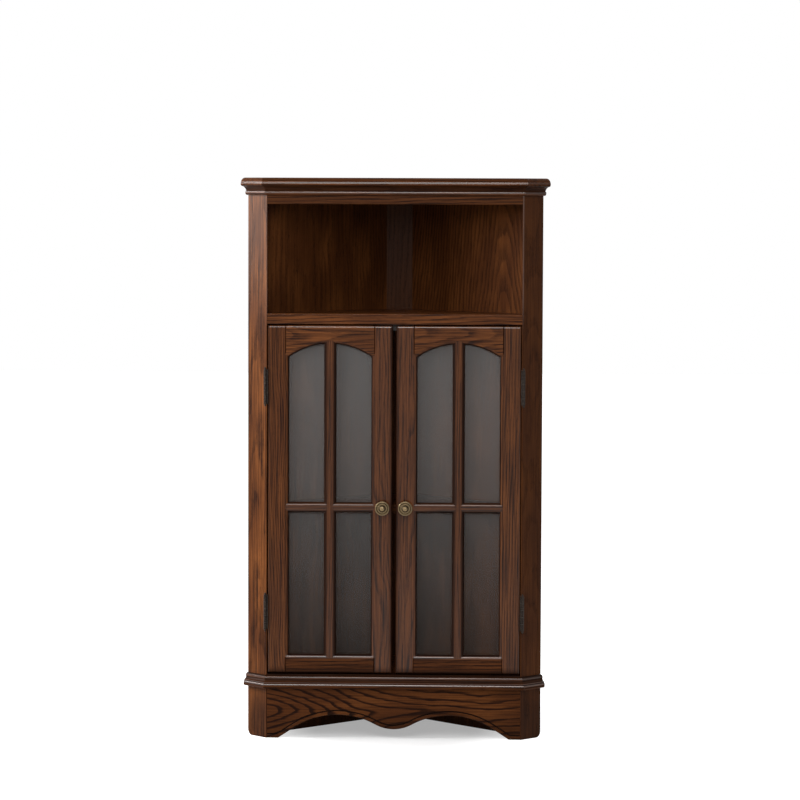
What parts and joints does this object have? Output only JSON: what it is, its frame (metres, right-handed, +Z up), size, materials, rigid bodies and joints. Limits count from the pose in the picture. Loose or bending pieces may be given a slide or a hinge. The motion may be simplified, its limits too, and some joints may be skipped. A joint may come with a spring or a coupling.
{
  "type": "corner display cabinet",
  "caption": "Corner display cabinet in dark stained oak: canted posts, open niche over arched glazed doors, moulded cornice and base, scalloped apron.",
  "frame": {"origin": "on the floor, under the middle of the cabinet's bounding box", "axes": "+Z up, +Y back into the corner of the room, +X to the right as seen by a person facing the doors"},
  "size_m": [0.661, 0.3602, 1.2],
  "materials": {
    "oak_frame": "dark walnut stain under satin lacquer, open grain",
    "oak_boards": "dark walnut stain under satin lacquer, open grain",
    "raw_pine": "sawn, unfinished",
    "clear_glass": "clear float glass",
    "antique_brass": "aged, dark in the hollows",
    "dark_bronze": "oil-rubbed bronze",
    "steel_fixings": "zinc plated",
    "magnet_steel": "ground",
    "brown_plastic": "moulded"
  },
  "bodies": {
    "cabinet": {"apron_blocks": "raw_pine", "cabinet_floor": "oak_boards", "catch_housing": "brown_plastic", "catch_magnets": "magnet_steel", "catch_screws": "steel_fixings", "display_shelf": "oak_boards", "front_apron": "oak_frame", "front_base_moulding": "oak_frame", "front_cornice": "oak_frame", "left_base_moulding": "oak_frame", "left_cornice": "oak_frame", "left_frame_hinge_leaves": "dark_bronze", "left_frame_hinge_screws": "steel_fixings", "left_hinge_pins": "dark_bronze", "left_post": "oak_frame", "left_wall": "oak_boards", "niche_floor": "oak_boards", "niche_rail": "oak_frame", "rear_post": "oak_boards", "right_base_moulding": "oak_frame", "right_cornice": "oak_frame", "right_frame_hinge_leaves": "dark_bronze", "right_frame_hinge_screws": "steel_fixings", "right_hinge_pins": "dark_bronze", "right_post": "oak_frame", "right_wall": "oak_boards", "shelf_pins": "antique_brass", "top_blocks": "raw_pine", "top_board": "oak_frame", "top_rail": "oak_frame"},
    "left_door": {"left_door_arched_rail": "oak_frame", "left_door_bottom_rail": "oak_frame", "left_door_cross_bars": "oak_frame", "left_door_glass": "clear_glass", "left_door_glazing_beads": "oak_frame", "left_door_hinge_leaves": "dark_bronze", "left_door_hinge_screws": "steel_fixings", "left_door_hinge_stile": "oak_frame", "left_door_knob": "antique_brass", "left_door_knob_screw": "steel_fixings", "left_door_meeting_stile": "oak_frame", "left_door_strike_plate": "steel_fixings", "left_door_strike_screw": "steel_fixings", "left_door_upright_bar": "oak_frame"},
    "right_door": {"right_door_arched_rail": "oak_frame", "right_door_bottom_rail": "oak_frame", "right_door_cross_bars": "oak_frame", "right_door_glass": "clear_glass", "right_door_glazing_beads": "oak_frame", "right_door_hinge_leaves": "dark_bronze", "right_door_hinge_screws": "steel_fixings", "right_door_hinge_stile": "oak_frame", "right_door_knob": "antique_brass", "right_door_knob_screw": "steel_fixings", "right_door_meeting_stile": "oak_frame", "right_door_strike_plate": "steel_fixings", "right_door_strike_screw": "steel_fixings", "right_door_upright_bar": "oak_frame"}
  },
  "joints": [
    {"name": "left_door_hinge", "type": "hinge", "parent": "cabinet", "child": "left_door", "pos_m": [-0.2752, -0.15552, 0.5135], "axis": [0, 0, -1], "range_deg": [0, 135]},
    {"name": "right_door_hinge", "type": "hinge", "parent": "cabinet", "child": "right_door", "pos_m": [0.2752, -0.15552, 0.5135], "axis": [0, 0, 1], "range_deg": [0, 135]}
  ]
}
